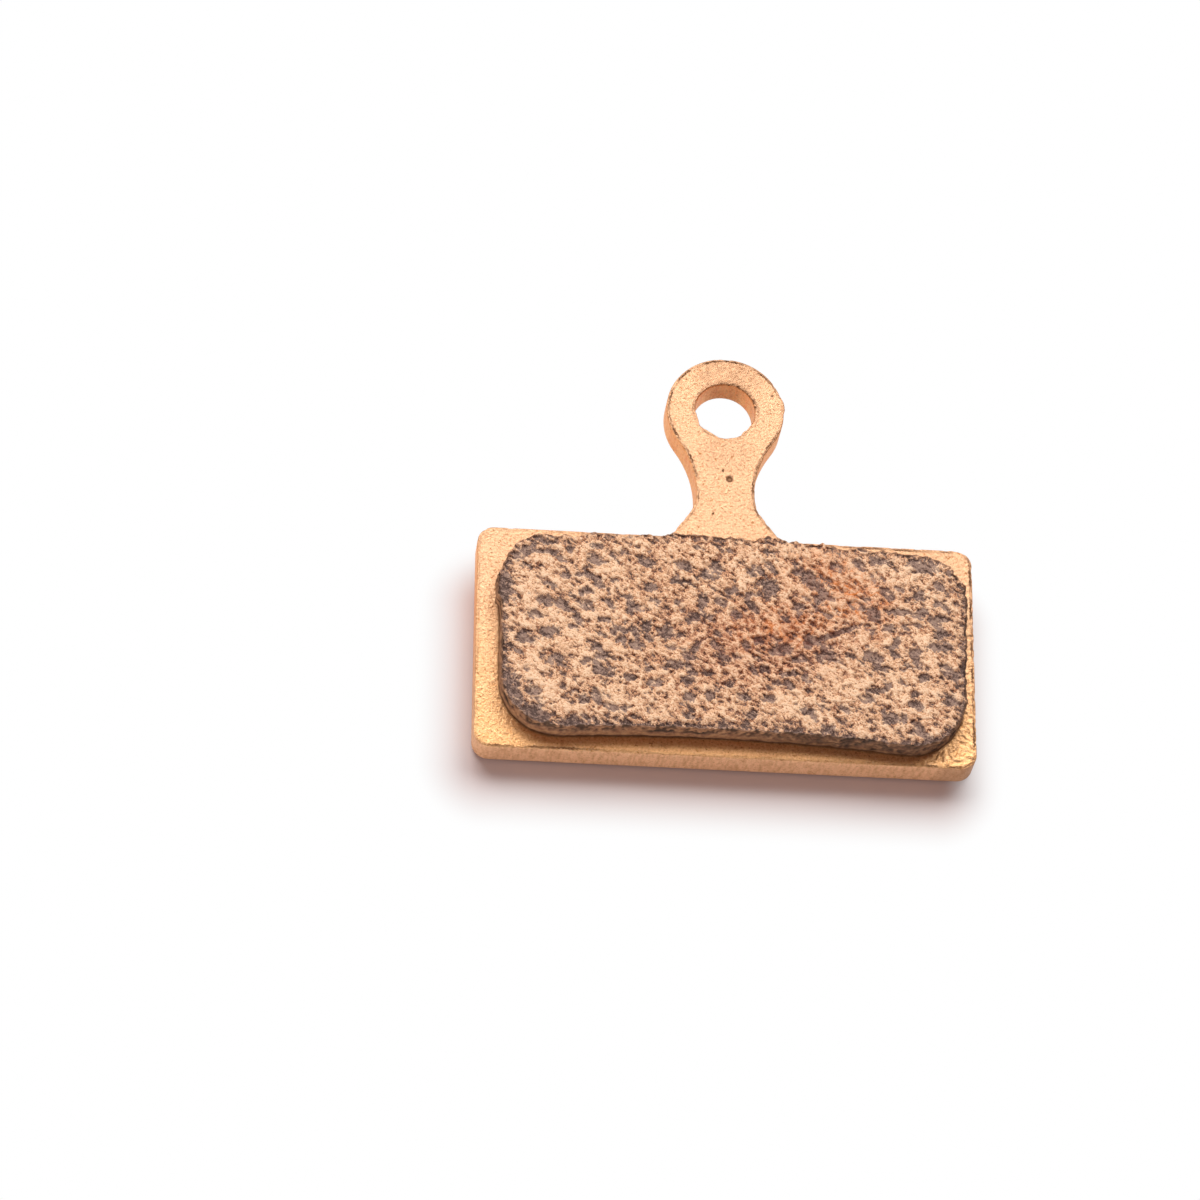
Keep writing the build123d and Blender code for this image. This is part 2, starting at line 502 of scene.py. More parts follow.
@dataclass(frozen=True)
class SinteredMetal:
    """Bronze powder and graphite, pressed and sintered, then rubbed by the disc.

    Rubbing leaves pale smeared flakes that catch the light, the graphite grains stay as dull grey pits,
    and heat has stained some of it orange and red.
    """

    tones: tuple[tuple[float, str], ...] = (
        (0.0, "#5e3a29"),
        (0.2, "#a66f52"),
        (0.45, "#d49d76"),
        (0.7, "#eec096"),
        (1.0, "#fddcb9"),
    )
    graphite: str = "#5f4b43"
    graphite_pale: str = "#a88d7e"
    rust: str = "#ec842a"
    scorch: str = "#bf7458"
    side: str = "#ba8b64"
    side_deep: str = "#8b6146"
    # Dark crumbs on the walls, also used for painted shade there
    crumb_and_shade: str = "#35251b"
    crack_shade: float = 0.5  # painted shade: how much darker a crack is than the flakes beside it
    crack_reach: float = 0.16  # value of the crack mask at which a crack ends
    grit_size: float = 0.08
    grit_height: float = 0.05
    streak_size: float = 0.09  # across one smeared streak
    stretch: float = 2.0  # how much the disc has drawn streaks and flakes out
    drag: float = -27.0  # degrees; and which way
    cloud_size: float = 0.3  # of the blotches on the side walls

    def material(self) -> bpy.types.Material:
        """Builds the node tree.

        Returns:
            The finished material.
        """
        material, tree = new_material("sintered_bronze_and_graphite")
        place = add_node(tree, "TexCoord", out="Object")
        wall, tone, crack, grain, dirt_and_shade, rust, scorch = (
            add_node(tree, "Attribute", out="Fac", attribute_name=mask.value)
            for mask in (Mask.WALL, Mask.TONE, Mask.CRACK, Mask.GRAIN, Mask.DIRT_AND_SHADE, Mask.RUST, Mask.SCORCH)
        )
        turn = (0.0, 0.0, math.radians(self.drag))
        drawn = add_node(
            tree,
            "Mapping",
            {"Vector": place, "Rotation": turn, "Scale": (self.stretch, 1.0, 1.0)},
            vector_type="TEXTURE",
        )
        grit, streak, cloud = (
            add_node(
                tree,
                "TexNoise",
                {"Vector": vector, "Scale": 1 / (size * MM), "Detail": detail, "Roughness": roughness},
            )
            for vector, size, detail, roughness in (
                (place, self.grit_size, 2.0, 0.6),
                (drawn, self.streak_size, 2.0, 0.55),
                (place, self.cloud_size, 5.0, 0.5),
            )
        )

        # Streaks and grit, finer than the mesh, and cracks darkened with painted shade, over the flakes'
        # own tone
        smear, mottle = (
            add_node(tree, "MapRange", {"Value": pattern, "To Min": -0.8, "To Max": 0.8})
            for pattern in (streak, grit)
        )
        fine = add_node(tree, "Math", {0: smear, 1: mottle}, operation="ADD")
        crack = add_node(tree, "Math", {0: crack}, operation="ABSOLUTE")
        darker = {"From Max": self.crack_reach, "To Min": -self.crack_shade, "To Max": 0.0}
        crack = add_node(tree, "MapRange", {"Value": crack} | darker)
        for change in (fine, crack):
            tone = add_node(tree, "Math", {0: tone, 1: change}, operation="ADD")
        skin = add_node(tree, "ValToRGB", {"Fac": tone}, stops=self.tones)

        # Graphite, with paler worn tops, and the side walls
        greys = [(0.0, self.graphite), (0.45, self.graphite_pale)]
        dark = add_node(tree, "ValToRGB", {"Fac": tone}, stops=greys)
        ragged = add_node(tree, "Math", {0: fine, 1: -0.8, 2: grain}, operation="MULTIPLY_ADD")
        border = {"From Min": 0.38, "From Max": 0.68, "To Max": 0.9}
        inside = add_node(tree, "MapRange", {"Value": ragged} | border)
        browns = [(0.35, self.side_deep), (0.65, self.side)]
        side = add_node(tree, "ValToRGB", {"Fac": cloud}, stops=browns)

        # One over the other: graphite, reddening by heat, rust, the walls, and the dark crumbs and painted
        # shade on them
        for share, colour, blend in (
            (inside, dark, "MIX"),
            (scorch, linear(self.scorch), "MULTIPLY"),
            (rust, linear(self.rust), "MIX"),
            (wall, side, "MIX"),
            (dirt_and_shade, linear(self.crumb_and_shade), "MIX"),
        ):
            coat = {0: share, 6: skin, 7: colour}
            skin = add_node(tree, "Mix", coat, 2, data_type="RGBA", blend_type=blend)

        # A little metal in the flakes, none in the graphite and on the walls
        dull = add_node(tree, "Math", {0: grain, 1: wall}, operation="MAXIMUM")
        shine = add_node(tree, "MapRange", {"Value": dull, "To Min": 0.35, "To Max": 0.0})
        relief = {"Height": fine, "Strength": 0.5, "Distance": self.grit_height * MM}
        bump = add_node(tree, "Bump", relief)
        surface = {"Base Color": skin, "Metallic": shine, "Roughness": 0.6, "Specular IOR Level": 0.3}
        shader = add_node(tree, "BsdfPrincipled", surface | {"Normal": bump})
        add_node(tree, "OutputMaterial", {"Surface": shader})
        return material


@dataclass(frozen=True)
class Spot:
    """Round place on the pad with a soft border."""

    x: float
    y: float
    reach: float
    strength: float = 1.0

    def share(self, x: float, y: float) -> float:
        """Strength at a place: whole within half the reach, none beyond it."""
        return self.strength * fade(self.reach, self.reach / 2, math.hypot(x - self.x, y - self.y))


@dataclass(frozen=True)
class Patch:
    """Long place on the friction face: a graphite grain, or a stain."""

    x: float
    y: float
    length: float
    width: float
    turn: float = 0.0  # degrees, anticlockwise
    strength: float = 1.0

    def share(self, x: float, y: float, soft: float) -> float:
        """How much of the patch there is at a place.

        Args:
            x: Place along the plate.
            y: Place towards the eye.
            soft: Width of its border, as a share of its half width.

        Returns:
            The strength inside, 0 outside.
        """
        dx = x - self.x
        dy = y - self.y
        if max(abs(dx), abs(dy)) > self.length:
            return 0.0
        cos = math.cos(math.radians(self.turn))
        sin = math.sin(math.radians(self.turn))
        along = (dx * cos + dy * sin) / (self.length / 2)
        across = (dy * cos - dx * sin) / (self.width / 2)
        border = (abs(along) ** 3 + abs(across) ** 3) ** (1 / 3)
        ragged = 0.5 * ripple(x, y, 0.25, 9.0) + 0.5 * ripple(x, y, 0.11, 10.0)
        return self.strength * fade(1 + soft, 1 - soft, border + ragged)


def most(marks: Iterable[Spot | Patch], x: float, y: float, *soft: float) -> float:
    """Highest share that any of some spots, or patches with a soft border, has at a place."""
    return max(mark.share(x, y, *soft) for mark in marks)


@dataclass
class PlatedPlate:
    """The stamped back plate with its tab and pin eye."""

    finish: PlatedSteel
    spacing: float = 0.065
    edge_roll: float = 0.09
    hole_roll: float = 0.11
    hole_reach: float = 2.4  # outline points nearer to the hole's axis than this are on its rim
    wall_rings: int = 9
    foot_chamfer: float = 0.05
    lip: float = 0.25
    peen: float = 0.015  # height of the hammered grain
    peen_size: float = 0.14
    coarse_peen: float = 0.055
    coarse_size: float = 0.24
    edge_wear: float = 0.06  # how far the front edge is worn back in places
    wear_height: float = 0.35  # how far down the wall
    wear_size: float = 0.4  # and from one such place to the next
    seat_inset: float = 0.8  # the front is plain this far inside the block's outline
    burrs: tuple[Spot, ...] = (
        Spot(3.5, 0.65, 0.6, 0.1),
        Spot(-1.7, -0.55, 0.5, 0.06),
        Spot(-0.9, -1.6, 0.6, 0.08),
        Spot(1.35, -1.2, 0.5, 0.08),
    )
    dots: tuple[Spot, ...] = (
        Spot(2.85, 1.2, 0.1),
        Spot(-0.15, -4.05, 0.11),
        Spot(-0.75, -6.95, 0.09),
    )
    # Punch mark, shaded with a painted dark ring
    punch: Spot = Spot(0.25, -4.6, 0.27)
    tarnish: Spot = Spot(1.4, 1.5, 2.4)
    tarnish_radius: float = 2.15  # from the hole's axis
    foot_shadow_and_dirt: float = 0.75  # painted contact shadow and dirt along the block's foot
    foot_shadow_width: float = 0.13
    foot_shadow_end: tuple[float, float] = (-10.2, -11.8)  # it fades out between these heights, towards the far side where no shadow falls
    hole_wall_shade: float = 0.3  # painted shade on the hole's far wall, the part that faces the eye
    corner_dirt: Spot = Spot(14.4, -22.8, 2.4, 0.35)  # on the walls only
    smudges: tuple[Spot, ...] = (
        Spot(0.2, 2.9, 2.8, 0.2),
        Spot(0.0, -2.7, 2.0, 0.1),
    )
    coarse: tuple[Spot, ...] = (
        Spot(13.8, -21.4, 4.0, 0.85),
        Spot(15.0, -16.0, 6.0, 0.8),
        Spot(-13.6, -20.8, 4.0, 0.25),
        Spot(-14.4, -16.0, 6.0, 0.15),
    )
    hole_line: float = 0.35  # dirt along the hole's rim
    least_line: float = 0.3  # and along the other edges
    dirty_edges: tuple[Spot, ...] = (  # which have more of it here
        Spot(0.0, 3.6, 5.0, 1.0),
        Spot(-3.4, -0.4, 3.4, 0.9),
        Spot(-2.2, -4.5, 4.0, 0.8),
        Spot(2.2, -4.5, 4.5, 0.9),
        Spot(14.75, -15.5, 9.0, 1.0),
        Spot(9.0, -8.6, 7.0, 0.8),
        Spot(-11.0, -22.85, 4.5, 0.9),
        Spot(13.0, -22.85, 3.0, 1.0),
    )

    def roll(self, foot: Vector) -> float:
        """Radius of the front edge's rounding at a point of the outline."""
        return self.hole_roll if foot.length < self.hole_reach else self.edge_roll

    def bulge(self, foot: Vector) -> float:
        """How far a burr stands out at a point of the outline."""
        return sum(burr.share(foot.x, foot.y) for burr in self.burrs)

    def build(self, block: NodeShape) -> None:
        """Models and dresses the plate.

        Args:
            block: The friction block, which hides the middle of the front.
        """
        skin = Skin(NodeShape("back_plate"), self.spacing, self.roll, self.bulge)
        skin.wall_rings(self.wall_rings, self.foot_chamfer, self.lip)
        self.clear_seat(skin, block)
        self.hammer(skin)
        self.dirtied_and_shaded(skin, block)
        skin.piece("plated_plate", "plated_steel", self.finish.material())

    def clear_seat(self, skin: Skin, block: NodeShape) -> None:
        """Makes the part of the front that the block hides one plain face.

        Args:
            skin: Mesh of the plate.
            block: The friction block.
        """
        hidden = []
        for face in skin.bm.faces:
            middle = face.calc_center_median()
            flat = middle.z > skin.shape.high.z - TOUCH
            if flat and block.edge(middle.x, middle.y)[2] > self.seat_inset:
                hidden.append(face)
        bmesh.ops.delete(skin.bm, geom=hidden, context="FACES")
        bmesh.ops.holes_fill(skin.bm, edges=skin.border(), sides=0)

    def hammer(self, skin: Skin) -> None:
        """Sinks the punch mark, raises the blasted grain on the front and wears its edge.

        Args:
            skin: Mesh of the plate.
        """
        top = skin.shape.high.z
        for v in skin.bm.verts:
            wall = v[skin.masks[Mask.WALL]]
            x, y, z = v.co
            if wall < 1:
                coarse = most(self.coarse, x, y)
                grain = ripple(x, y, self.peen_size, 1.0) + 0.6 * ripple(x, y, self.peen_size / 2, 2.0)
                sunk = self.peen * max(0.0, 0.7 - grain)
                sunk += coarse * self.coarse_peen * max(0.0, 0.5 - ripple(x, y, self.coarse_size, 5.0))
                mark = top - skin.shape.height(x, y) if wall == 0 else 0.0
                v[skin.masks[Mask.COARSE]] = coarse
                v.co.z -= sunk * (1 - wall) + mark
            if wall > 0:
                worn = fade(0.0, 0.5, ripple(x, y, self.wear_size, z / self.wear_size + 3.0))
                back = self.edge_wear * worn * wall * fade(self.wear_height, 0.0, top - z)
                v.co -= v[skin.out] * back

    def dirtied_and_shaded(self, skin: Skin, block: NodeShape) -> None:
        """Marks where dirt lines the edges, and where dirt and painted shade lie on the front and the
        walls.

        Args:
            skin: Mesh of the plate.
            block: The friction block.
        """
        back = skin.shape.low.z + self.foot_chamfer / 2
        for v in skin.bm.verts:
            x, y, z = v.co
            if z < back:
                continue
            v[skin.masks[Mask.LINE]] = self.edge_dirt(x, y)
            if v[skin.masks[Mask.WALL]] == 1:
                v[skin.masks[Mask.DIRT_AND_SHADE]] = self.wall_dirt_and_shade(x, y, v[skin.out])
            else:
                v[skin.masks[Mask.DIRT_AND_SHADE]] = self.front_dirt_and_shade(x, y, block)

    def at_hole(self, x: float, y: float) -> bool:
        """Says whether a place is at the hole and not at the outer edge."""
        return math.hypot(x, y) < self.hole_reach

    def smudge(self, x: float, y: float) -> float:
        """Strength of the dark bloom on the tab."""
        return most(self.smudges, x, y) * (0.8 + ripple(x, y, 0.3, 6.0))

    def edge_dirt(self, x: float, y: float) -> float:
        """Strength of the dirt line along the nearest edge, which is broken into stretches."""
        lined = self.hole_line if self.at_hole(x, y) else max(self.least_line, most(self.dirty_edges, x, y))
        return min(1.0, max(0.0, lined * (0.5 + 0.9 * ripple(x, y, 0.9, 4.0)) * 1.3))

    def wall_dirt_and_shade(self, x: float, y: float, out: Vector) -> float:
        """Dirt and painted shade on a wall: painted shade on the hole's far wall, facing the eye; smudges
        outside.
        """
        smeared = max(self.smudge(x, y), self.corner_dirt.share(x, y))
        return self.hole_wall_shade * fade(0.6, 1.0, -out.y) if self.at_hole(x, y) else smeared

    def front_dirt_and_shade(self, x: float, y: float, block: NodeShape) -> float:
        """Front: painted shade in the punch mark's ring and along the block's foot; dirt beside the hole,
        at the foot, in dots.

        Args:
            x: Place along the plate.
            y: Place towards the eye.
            block: The friction block.

        Returns:
            From 0 to 1.
        """
        # Painted shade: a dark ring on the punch mark's sloping wall, lighter at its middle
        away = math.hypot(x - self.punch.x, y - self.punch.y)
        ring = self.punch.share(x, y) * (0.5 + 0.4 * fade(0.02, 0.16, away))
        close = fade(self.tarnish_radius, self.tarnish_radius - 0.3, math.hypot(x, y))
        rim = self.tarnish.share(x, y) * close * (0.6 + ripple(x, y, 0.15, 6.0))
        # Painted contact shadow with dirt along the block's foot, left off the far side
        gap = block.edge(x, y)[2] + 0.05 * ripple(x, y, 0.3, 6.0)
        foot = self.foot_shadow_and_dirt * fade(-self.foot_shadow_width, -0.02, gap) * fade(*self.foot_shadow_end, y)
        return max(ring, rim, foot, self.smudge(x, y), most(self.dots, x, y))


@dataclass
class FrictionBlock:
    """The sintered block: rubbed flakes with graphite pits on its face, and crumbled edges."""

    finish: SinteredMetal
    spacing: float = 0.069
    edge_roll: float = 0.16
    wall_rings: int = 15
    foot_chamfer: float = 0.03
    lip: float = 0.25
    crumble: float = 0.1  # how far the edge wanders
    relief: float = 0.16  # from the deepest gap to the highest flake
    pit: float = 0.06  # further depth of a graphite grain
    swells: tuple[tuple[float, float], ...] = (  # sizes of the waves in the face, and their weights
        (2.7, 0.08), (1.36, 0.2), (0.68, 0.38), (0.34, 0.55), (0.17, 0.65),
    )
    facet: float = 0.18  # width of one flake
    facet_weight: float = 0.75
    contrast: float = 3.2  # between flakes and gaps
    lift: float = 0.45  # more flakes than gaps
    dim: Spot = Spot(-0.8, -14.6, 8.0, 0.16)  # more graphite and fewer bright flakes
    pore_sway: float = 0.18  # how far a pore's border wanders
    gather: float = 1.5  # distance between places where graphite gathers
    cells: tuple[tuple[float, float], ...] = ((0.45, 0.06), (0.28, 0.06))  # small grains: size and share
    placed: float = 1.45  # weight of the grains that are placed one by one
    grain_soft: float = 0.15  # width of a grain's border, as a share of its half width
    stain_soft: float = 0.9  # the same of a stain
    crack_drop: float = 0.04  # depth of a crack
    rim_width: float = 0.75
    rim_drop: float = 0.06  # how far the broken rim lies below the face
    smooth_foot: float = 0.6  # height of the pressed lower band of the walls
    grains: tuple[Patch, ...] = tuple(
        Patch(*row)
        for row in (  # place, length and width, then the turn and the strength of some
            (-9.4, -10.5, 0.5, 0.4, 80), (-10.9, -10.7, 1.8, 0.3), (-7.8, -10.2, 0.7, 0.4),
            (-7.6, -11.25, 0.9, 0.25), (-8.8, -12.1, 0.5, 0.3), (-4.6, -12.65, 0.75, 0.45),
            (-8.7, -13.3, 0.5, 0.35, 80), (-9.55, -14.2, 0.65, 0.4, 80), (-7.0, -13.9, 0.8, 0.3, -60),
            (-5.8, -14.0, 0.85, 0.5, 80), (-7.3, -14.95, 0.8, 0.35), (-4.8, -15.25, 0.8, 0.45, 80),
            (-10.45, -15.85, 1.0, 0.5, 22), (-12.1, -16.3, 0.9, 0.6, 60), (-6.3, -16.2, 0.55, 0.5),
            (-5.55, -16.4, 0.55, 0.5), (-7.75, -16.8, 0.6, 0.3), (-9.9, -17.6, 0.7, 0.35, -70),
            (-8.4, -17.65, 0.6, 0.35, 40), (-7.45, -18.3, 0.9, 0.45), (-5.8, -18.6, 0.65, 0.5),
            (-8.5, -20.1, 0.6, 0.6), (-2.9, -12.2, 1.1, 0.35), (-1.2, -11.8, 1.2, 0.35),
            (-1.5, -13.4, 0.85, 0.6, 80), (1.15, -13.0, 0.8, 0.4, 80), (2.5, -12.4, 1.2, 0.8, 75),
            (4.95, -11.75, 1.5, 1.0, -40), (5.8, -12.65, 1.3, 0.5, -40), (4.2, -13.45, 0.7, 0.45),
            (-2.0, -14.5, 0.6, 0.55), (-1.1, -14.5, 0.5, 0.45), (-3.7, -15.55, 0.9, 0.75, 70),
            (1.75, -15.85, 0.6, 0.55), (3.1, -16.3, 1.3, 0.8), (4.7, -15.9, 0.6, 0.6),
            (-1.95, -16.45, 0.9, 0.4, 60), (-0.35, -17.0, 1.0, 0.4, -20), (-3.1, -17.6, 1.2, 0.5),
            (2.1, -17.6, 0.6, 0.45), (3.6, -17.85, 1.0, 0.4, 15), (-2.4, -18.55, 0.8, 0.5),
            (0.0, -18.7, 0.6, 0.4), (2.85, -18.45, 0.6, 0.35), (-2.3, -19.7, 0.7, 0.65),
            (-1.1, -19.5, 0.6, 0.6), (4.6, -20.2, 0.9, 0.45), (1.4, -20.6, 0.6, 0.5),
            (6.4, -15.1, 2.8, 0.35, 23), (8.6, -13.75, 0.8, 0.75), (11.3, -12.4, 0.7, 0.65),
            (10.2, -13.5, 1.4, 0.45), (11.5, -13.4, 0.6, 0.5), (12.6, -13.8, 1.0, 0.45),
            (9.45, -14.6, 0.9, 0.45), (12.5, -15.7, 1.6, 0.5), (9.9, -15.5, 0.6, 0.4, 80),
            (8.2, -16.45, 0.7, 0.5, 80), (8.9, -17.2, 0.9, 0.35, -20), (11.5, -17.7, 0.75, 0.5),
            (13.4, -17.5, 0.6, 0.55), (8.8, -18.65, 1.4, 0.35, 10), (13.1, -19.2, 1.1, 0.4),
            (11.0, -19.5, 0.9, 0.5, -40), (9.35, -20.5, 0.65, 0.6), (10.25, -20.4, 0.65, 0.4, 80),
            (5.8, -21.3, 0.8, 0.6), (11.6, -10.5, 2.0, 0.9, -12, 0.6), (9.0, -10.2, 1.4, 0.5, -8, 0.5),
            (-13.2, -13.2, 1.8, 0.7, 85, 0.8), (-12.2, -10.9, 1.6, 0.6, 40, 0.5),
            (-11.2, -21.2, 1.6, 0.9, -35, 0.6), (-12.4, -20.0, 1.2, 0.6, -60, 0.5),
            (-8.9, -21.7, 1.8, 0.6, -8, 0.6),
        )
    )
    rust: tuple[Patch, ...] = (
        Patch(6.9, -12.4, 4.8, 2.6, -35, 0.9),
        Patch(8.3, -12.2, 2.2, 1.4, -40, 0.7),
        Patch(3.4, -15.0, 5.4, 2.4, 10, 0.55),
    )
    scorch: tuple[Patch, ...] = (
        Patch(2.6, -15.7, 9.0, 4.4, 12, 0.5),
        Patch(7.0, -12.5, 5.5, 3.4, -30, 0.35),
    )
    crumbly: tuple[Spot, ...] = (  # where the rim is broken away the furthest
        Spot(-9.0, -21.0, 5.0),
        Spot(-12.6, -18.9, 3.0, 0.8),
        Spot(-13.3, -12.9, 1.6, 0.8),
        Spot(-11.4, -10.3, 3.0, 0.8),
        Spot(-7.0, -9.9, 3.5, 0.5),
        Spot(-2.5, -9.6, 3.0, 0.6),
        Spot(4.0, -9.4, 4.5, 0.5),
        Spot(10.8, -10.4, 3.4, 0.8),
        Spot(13.6, -13.5, 3.0, 0.5),
        Spot(2.0, -21.3, 4.0, 0.6),
    )
    lumps: tuple[Spot, ...] = (
        Spot(-13.4, -12.9, 1.1, 0.22),
        Spot(-2.4, -9.3, 2.0, 0.18),
        Spot(3.2, -9.3, 1.6, 0.16),
    )

    def roll(self, foot: Vector) -> float:
        """Radius of the face edge's rounding."""
        return self.edge_roll

    def bulge(self, foot: Vector) -> float:
        """How far the crumbled edge stands out from the drawn outline at one of its points."""
        wander = self.crumble * (ripple(foot.x, foot.y, 1.1, 7.0) + 0.6 * ripple(foot.x, foot.y, 0.42, 8.0))
        return most(self.lumps, foot.x, foot.y) + wander * (0.6 + 1.4 * fade(-16.0, -10.0, foot.y))

    def build(self) -> None:
        """Models and dresses the block."""
        skin = Skin(NodeShape("friction_pad"), self.spacing, self.roll, self.bulge)
        skin.wall_rings(self.wall_rings, self.foot_chamfer, self.lip)
        self.wear_face(skin)
        self.crumble_walls(skin)
        skin.piece("friction_block", "sintered_metal", self.finish.material())

    def drawn(self, x: float, y: float) -> tuple[float, float]:
        """Turns a place into one along and one across the way the disc ran, drawn out along it.

        Args:
            x: Place along the plate.
            y: Place towards the eye.

        Returns:
            The place along and the place across.
        """
        cos = math.cos(math.radians(self.finish.drag))
        sin = math.sin(math.radians(self.finish.drag))
        return (x * cos + y * sin) / self.finish.stretch, y * cos - x * sin

    def cell(self, x: float, y: float, size: float, layer: float) -> tuple[float, float]:
        """Finds the angular cell that a place is in.

        Args:
            x: Place along the plate.
            y: Place towards the eye.
            size: Width of a cell.
            layer: Number that tells one pattern of cells from another.

        Returns:
            The cell's own number from 0 to 1, and how far the place is from the cell's border, from 0.
        """
        along, across = self.drawn(x, y)
        bend = 0.35 * ripple(x, y, 0.2, layer + 1.0)
        distances, points = noise.voronoi(Vector((along / size + bend, across / size - bend, layer)))
        return lot(points[0]), distances[1] - distances[0]

    def flakes(self, x: float, y: float) -> float:
        """Adds up the swells and flakes of every size, drawn out the way the disc ran.

        Args:
            x: Place along the plate.
            y: Place towards the eye.

        Returns:
            Level of the face about 0, above it on a flake.
        """
        along, across = self.drawn(x, y)
        swell = sum(
            weight * ripple(along, across, size, 20.0 + number)
            for number, (size, weight) in enumerate(self.swells)
        )
        own, border = self.cell(x, y, self.facet, 5.0)
        return swell + self.facet_weight * (own - 0.45 - 0.4 * fade(0.25, 0.0, border))

    def graphite(self, x: float, y: float, gather: float) -> float:
        """How much graphite there is at a place.

        Args:
            x: Place along the plate.
            y: Place towards the eye.
            gather: From -1 where there is little to 1 where there is much.

        Returns:
            1 or more inside a grain, 0 in the metal.
        """
        there = self.placed * most(self.grains, x, y, self.grain_soft)
        for number, (size, share) in enumerate(self.cells):
            own, border = self.cell(x, y, size, 40.0 + 10 * number)
            if own < share * (1 + 1.5 * gather):
                there = max(there, fade(0.0, 0.3, border + 0.15 * ripple(x, y, 0.12, 42.0)))
        return there

    def broken_rim(self, x: float, y: float, depth: float, out: Vector) -> float:
        """How far the rim is broken away, from 0 to 1; less on the side towards the tab."""
        width = self.rim_width * (0.5 + most(self.crumbly, x, y))
        return fade(width, -0.1, depth + 0.3 * ripple(x, y, 0.4, 15.0)) * (1 - 0.55 * tab_side(out))

    def pore(self, shape: NodeShape, x: float, y: float, depth: float) -> float:
        """Depth of the solid's own pores, with a border that wanders, and 0 close to the rim."""
        sway = self.pore_sway * (ripple(x, y, 0.3, 11.0) + 0.7 * ripple(x, y, 0.14, 12.0))
        return fade(0.2, 0.4, depth) * (shape.high.z - shape.height(x + sway, y - sway))

    def crack(self, x: float, y: float) -> float:
        """Crosses 0 along winding cracks, and stays far from it where there are none."""
        winding = ripple(x, y, 0.4, 60.0) + 0.6 * ripple(x, y, 0.17, 61.0)
        return winding / (0.1 + fade(-0.2, 0.3, ripple(x, y, 0.6, 62.0)))

    def rusted(self, x: float, y: float, grain: float) -> float:
        """How rusty the face is: in veins, and round the graphite grains but not on them.

        Args:
            x: Place along the plate.
            y: Place towards the eye.
            grain: 1 in a graphite grain, 0 in the metal.

        Returns:
            From 0 to 1.
        """
        vein = fade(0.2, 0.05, abs(ripple(x, y, 0.5, 18.0))) * fade(-0.2, 0.2, ripple(x, y, 0.7, 16.0))
        vein = max(vein, 4 * grain * (1 - grain))
        return most(self.rust, x, y, self.stain_soft) * (0.1 + 0.9 * vein) * (1 - 0.9 * grain)

    def scorched(self, x: float, y: float, tone: float) -> float:
        """How red the face is, mostly in the gaps between its flakes, where the tone is low."""
        patchy = 0.8 + 0.8 * ripple(x, y, 0.4, 17.0)
        return min(1.0, patchy * most(self.scorch, x, y, self.stain_soft) * (1.6 - 1.3 * tone))

    def wear_face(self, skin: Skin) -> None:
        """Raises the flakes, sinks the pores, the graphite, the cracks and the rim, and marks the stains.

        Args:
            skin: Mesh of the block.
        """
        for v in skin.bm.verts:
            wall = v[skin.masks[Mask.WALL]]
            if wall >= 1:
                continue
            x, y, _ = v.co
            depth = v[skin.masks[Mask.DEPTH]]
            rim = self.broken_rim(x, y, depth, v[skin.out])
            pore = self.pore(skin.shape, x, y, depth)
            crack = self.crack(x, y)
            level = self.flakes(x, y)
            gather = ripple(x, y, self.gather, 30.0) + 0.6 * ripple(x, y, self.gather / 2, 31.0)
            hollow = max(self.graphite(x, y, gather), 0.9 * fade(0.0, 0.14, pore)) + 0.7 * rim
            grain = fade(0.3, 0.8, hollow - level)
            height = level + self.lift - 0.4 * rim - 0.35 * hollow - 0.2 * gather - self.dim.share(x, y)
            tone = 1 / (1 + math.exp(-self.contrast * height))
            v[skin.masks[Mask.TONE]] = tone
            v[skin.masks[Mask.GRAIN]] = min(1.0, max(0.0, hollow - level))
            v[skin.masks[Mask.CRACK]] = crack
            v[skin.masks[Mask.RUST]] = self.rusted(x, y, grain)
            v[skin.masks[Mask.SCORCH]] = self.scorched(x, y, tone)
            gap = self.relief * (1 - tone)
            sunk = max(gap + self.pit * grain, pore + 0.3 * gap) + self.rim_drop * rim
            sunk += self.crack_drop * fade(0.2, 0.0, abs(crack))
            v.co.z -= sunk * (1 - wall)

    def crumble_walls(self, skin: Skin) -> None:
        """Breaks up the upper part of the walls and leaves the lower band pressed smooth.

        Args:
            skin: Mesh of the block.
        """
        bottom = skin.shape.low.z
        for v in skin.bm.verts:
            x, y, z = v.co
            if v[skin.masks[Mask.WALL]] == 0 or z < bottom + TOUCH:
                continue
            rise = z - bottom + 0.15 * ripple(x, y, 0.5, 18.0)
            high = fade(self.smooth_foot, self.smooth_foot + 0.1, rise)
            crumbs = ripple(x, y, 0.2, z / 0.2 + 40.0) + ripple(x, y, 0.45, z / 0.45 + 50.0)
            crevice = fade(0.16, 0.02, abs(rise - self.smooth_foot))
            crevice *= fade(-0.1, 0.3, ripple(x, y, 1.6, 19.0))
            upper = high * (0.09 * crumbs - 0.05)
            lower = (1 - high) * 0.01 * crumbs
            v.co += v[skin.out] * (upper + lower - 0.06 * crevice)
            # Darker towards the right; painted contact shadow at the foot, painted shade in the crevice and
            # where the wall is pushed in; a quarter on walls facing the tab and the lamps
            darkening = max(fade(-1.0, 7.0, x) * (0.6 - 0.5 * crumbs), 0.8 * fade(0.16, 0.08, z - bottom))
            hole = 0.85 * high * fade(0.2, -0.4, crumbs)
            away_from_back_lamps = 1 - 0.75 * tab_side(v[skin.out])
            v[skin.masks[Mask.DIRT_AND_SHADE]] = away_from_back_lamps * min(1.0, max(darkening, crevice, hole))


